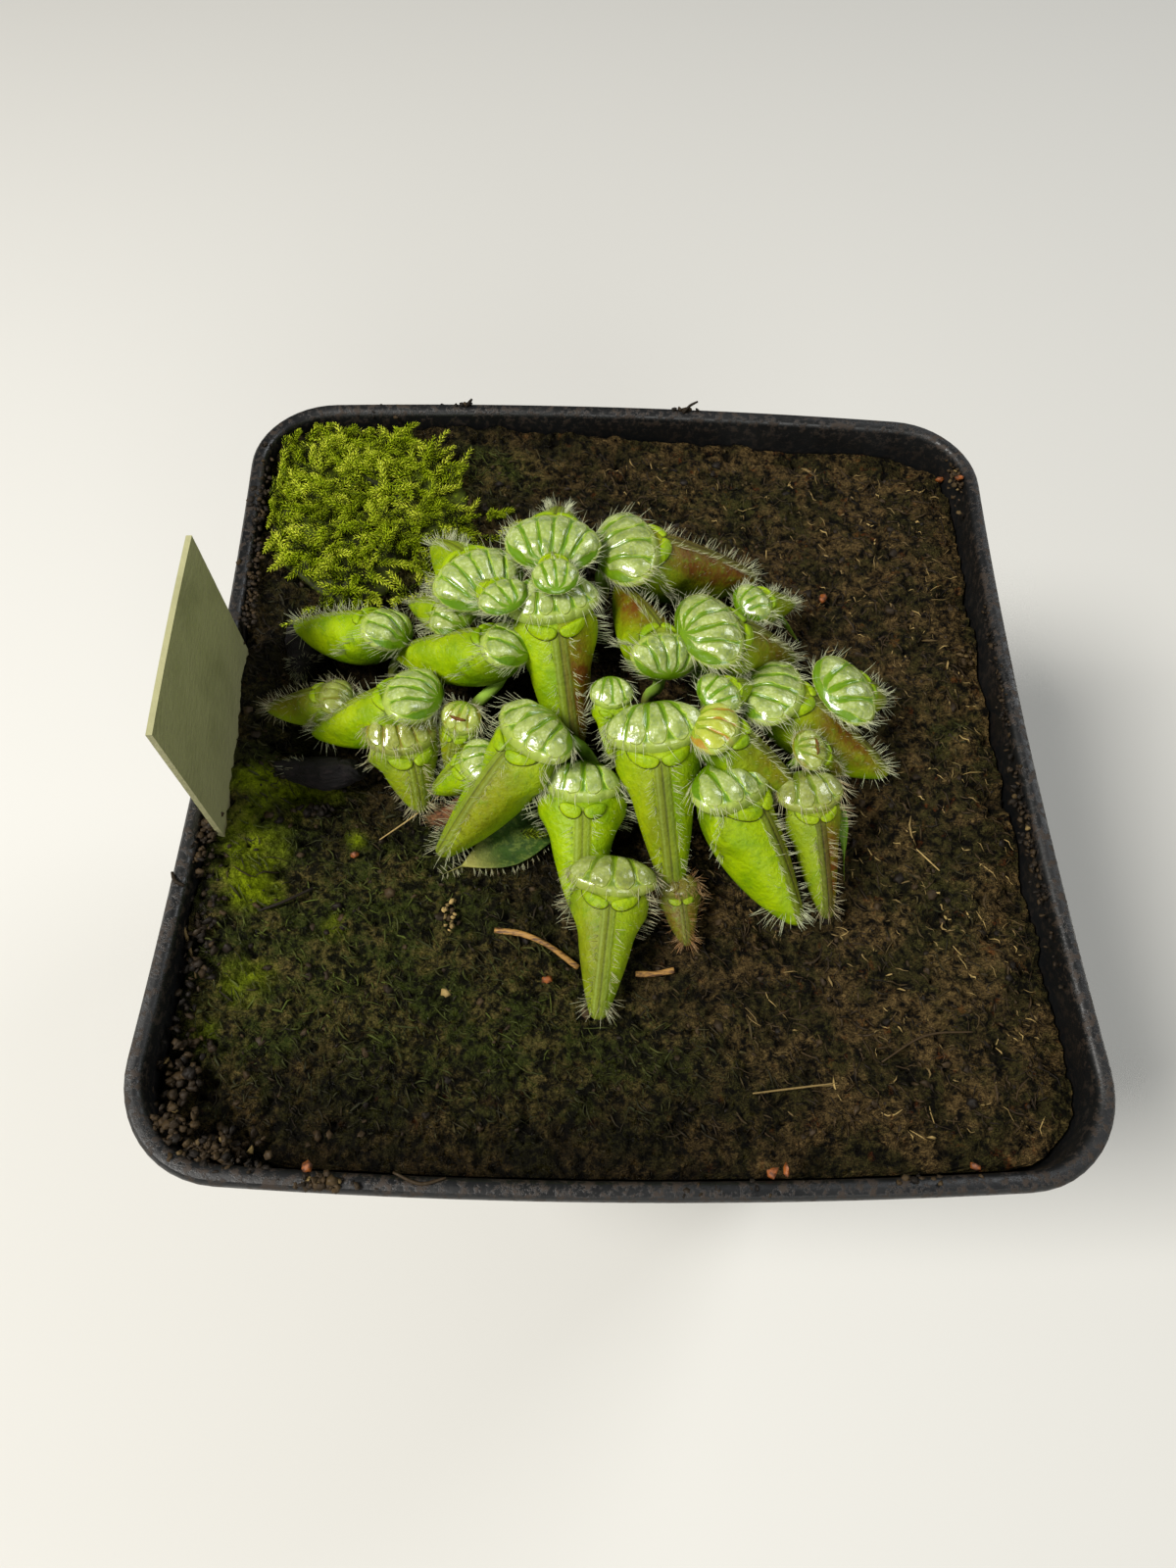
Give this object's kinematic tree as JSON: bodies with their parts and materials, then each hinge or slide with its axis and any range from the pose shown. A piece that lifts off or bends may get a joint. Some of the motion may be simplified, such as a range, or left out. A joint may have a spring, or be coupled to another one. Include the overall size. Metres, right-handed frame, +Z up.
{
  "type": "potted pitcher plant",
  "caption": "Young pitcher plant with closed ribbed jug leaves fringed by hairs, growing in damp peat with moss in a square black nursery pot with a plain card label.",
  "frame": {"origin": "centre of the pot's flat underside", "axes": "+Z up, +X to the pot's right side, -Y to the pot's front, the label at the left side (-X)"},
  "size_m": [0.089, 0.0932, 0.0971],
  "materials": {
    "green_pitcher": "smooth waxy green leaf tissue",
    "young_pitcher": "pale green young leaf tissue with fine hairs",
    "green_leaf": "smooth waxy dark green leaf",
    "withered_leaf": "dry dark brown to purple-black leaf tissue",
    "straw": "dry orange-brown plant straw",
    "moss": "soft yellow-green moss shoots",
    "woody_stem": "rough brown stem",
    "label_card": "off-white textured label sheet",
    "wet_peat": "damp dark peat with fibres and green algae",
    "black_plastic": "thin moulded black plastic with a soft sheen"
  },
  "bodies": {
    "root": {"pitcher_centre_front": "green_pitcher", "pitcher_front_left": "green_pitcher", "pitcher_front_middle": "green_pitcher", "pitcher_front_low": "green_pitcher", "pitcher_front_right": "green_pitcher", "pitcher_right_large": "green_pitcher", "pitcher_right_back_low": "green_pitcher", "pitcher_right_upper": "green_pitcher", "pitcher_back_right": "green_pitcher", "pitcher_back_middle": "green_pitcher", "pitcher_back_left": "green_pitcher", "pitcher_left_upper": "green_pitcher", "pitcher_left_lower": "green_pitcher", "pitcher_left_outer": "green_pitcher", "pitcher_centre_right": "green_pitcher", "pitcher_right_middle": "green_pitcher", "pitcher_right_front_low": "green_pitcher", "pitcher_front_under": "green_pitcher", "pitcher_left_round": "green_pitcher", "pitcher_left_small": "young_pitcher", "pitcher_back_small_left": "young_pitcher", "pitcher_centre_top": "young_pitcher", "pitcher_centre_left_top": "young_pitcher", "pitcher_right_tiny": "young_pitcher", "pitcher_left_bud": "young_pitcher", "pitcher_left_inner": "young_pitcher", "pitcher_centre_small": "young_pitcher", "pitcher_right_small": "young_pitcher", "pitcher_right_bud": "young_pitcher", "pitcher_front_under_small": "young_pitcher", "leaf_right": "green_leaf", "leaf_front_right": "green_leaf", "leaf_old": "withered_leaf", "withered_left": "withered_leaf", "withered_front": "withered_leaf", "withered_bud": "withered_leaf", "straw_long": "straw", "straw_short": "straw", "moss_carpet": "moss", "rhizome_crown": "woody_stem", "plant_label": "label_card", "potting_soil": "wet_peat", "pot": "black_plastic"}
  },
  "joints": []
}
